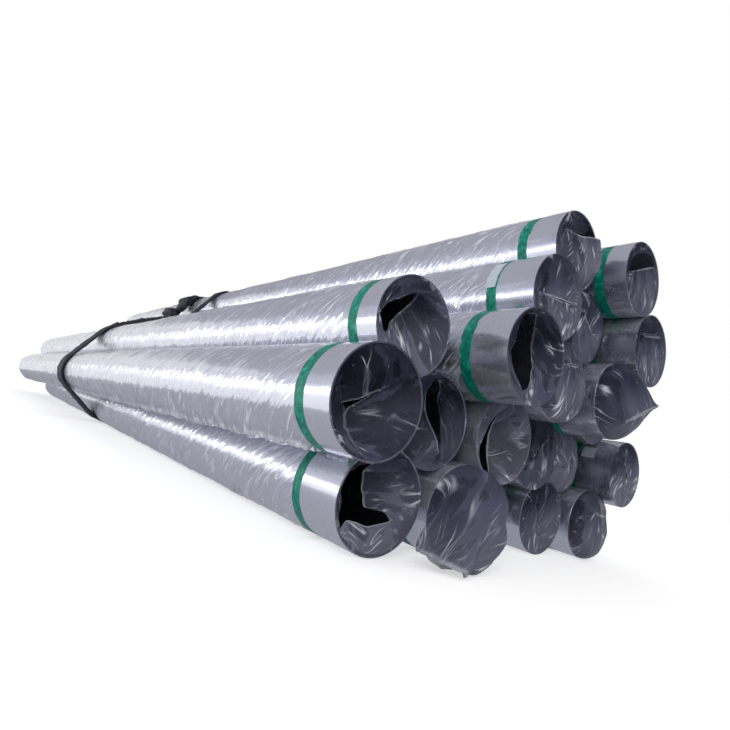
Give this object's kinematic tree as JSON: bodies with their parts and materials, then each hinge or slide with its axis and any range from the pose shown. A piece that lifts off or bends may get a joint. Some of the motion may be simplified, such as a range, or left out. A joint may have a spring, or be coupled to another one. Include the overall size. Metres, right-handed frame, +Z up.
{
  "type": "strapped pipe bundle",
  "caption": "Strapped bundle of long thin-walled stainless pipes, each in a clear film sleeve with its end tucked into the mouth and a green tape ring.",
  "frame": {"origin": "middle of the bundle's length and width, on the floor under the strap", "axes": "+X along the pipes, out of the taped mouths; +Y across; +Z up"},
  "size_m": [6.435, 1.9051, 1.2043],
  "materials": {
    "steel": "bright satin stainless",
    "film": "clear wrinkled film",
    "tape": "smooth green tape",
    "strap": "black woven strap",
    "label": "plain paper"
  },
  "bodies": {
    "root": {"row_1_pipe_1": "steel", "row_1_pipe_2": "steel", "row_1_pipe_3": "steel", "row_1_pipe_4": "steel", "row_1_pipe_5": "steel", "row_2_pipe_1": "steel", "row_2_pipe_2": "steel", "row_2_pipe_3": "steel", "row_2_pipe_4": "steel", "row_2_pipe_5": "steel", "row_2_pipe_6": "steel", "row_3_pipe_1": "steel", "row_3_pipe_2": "steel", "row_3_pipe_3": "steel", "row_3_pipe_4": "steel", "row_3_pipe_5": "steel", "row_4_pipe_1": "steel", "row_4_pipe_2": "steel", "row_4_pipe_3": "steel", "row_5_pipe_1": "steel", "row_5_pipe_2": "steel", "row_1_film_sleeves": "film", "row_2_film_sleeves": "film", "row_3_film_sleeves": "film", "row_4_film_sleeves": "film", "row_5_film_sleeves": "film", "tape_rings": "tape", "bundle_strap": "strap", "pipe_labels": "label"}
  },
  "joints": []
}
